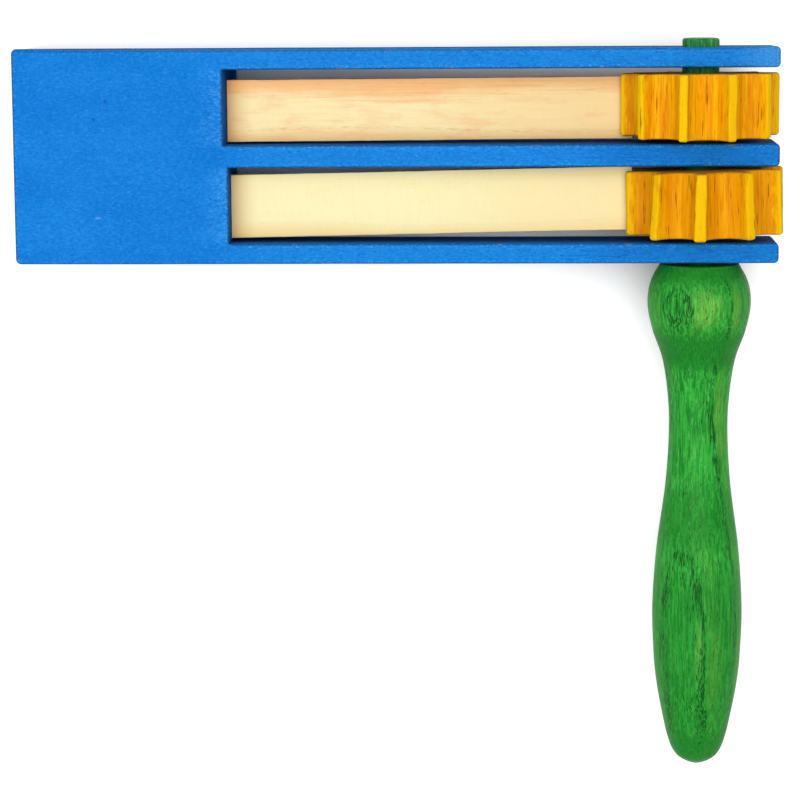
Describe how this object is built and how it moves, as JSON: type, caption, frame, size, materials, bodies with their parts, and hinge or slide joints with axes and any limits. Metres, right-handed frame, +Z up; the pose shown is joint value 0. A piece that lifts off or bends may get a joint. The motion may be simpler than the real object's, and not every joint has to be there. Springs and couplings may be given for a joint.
{
  "type": "wooden ratchet",
  "caption": "Hand-held wooden ratchet noise maker: a slotted frame whirls round a turned handle, and cogs on the handle's spindle flick springy wooden slats.",
  "frame": {"origin": "middle of the bounding box's underside, on the surface that the ratchet lies on", "axes": "+X from the frame's solid end towards its slotted end, +Y along the spindle away from the handle, +Z up"},
  "size_m": [0.2056, 0.198, 0.0421],
  "materials": {
    "blue_paint": "thin matt blue paint over open-grained wood",
    "pink_tan_wood": "bare pink-tan wood, straight grain",
    "cream_wood": "bare cream wood, fine grain",
    "yellow_stain": "golden yellow stain, satin",
    "green_stain": "green stain over open-grained wood, satin",
    "steel": "bright steel wire"
  },
  "bodies": {
    "handle": {"handle": "green_stain", "spindle": "green_stain", "upper_cog": "yellow_stain", "lower_cog": "yellow_stain", "upper_cog_pin": "steel", "lower_cog_pin": "steel"},
    "frame": {"frame": "blue_paint", "upper_slat_brad_1": "steel", "upper_slat_brad_2": "steel", "lower_slat_brad_1": "steel", "lower_slat_brad_2": "steel"},
    "upper_slat": {"upper_slat": "pink_tan_wood"},
    "lower_slat": {"lower_slat": "cream_wood"}
  },
  "joints": [
    {"name": "frame_spin", "type": "hinge", "parent": "handle", "child": "frame", "pos_m": [0.08003, 0.06828, 0.02105], "axis": [0, 1, 0], "continuous": true, "deforming": ["upper_slat", "lower_slat"]},
    {"name": "upper_slat_flex", "type": "hinge", "parent": "frame", "child": "upper_slat", "pos_m": [-0.0465, 0.08027, 0.01425], "axis": [0.003, -1, 0.0002], "range_deg": [-5.5, 5.5], "stiffness_Nm_per_rad": 4.5, "deforming": ["upper_slat"]},
    {"name": "lower_slat_flex", "type": "hinge", "parent": "frame", "child": "lower_slat", "pos_m": [-0.0452, 0.05457, 0.01433], "axis": [0.0179, -0.9998, 0.0012], "range_deg": [-5.5, 5.5], "stiffness_Nm_per_rad": 4.5, "deforming": ["lower_slat"]}
  ]
}
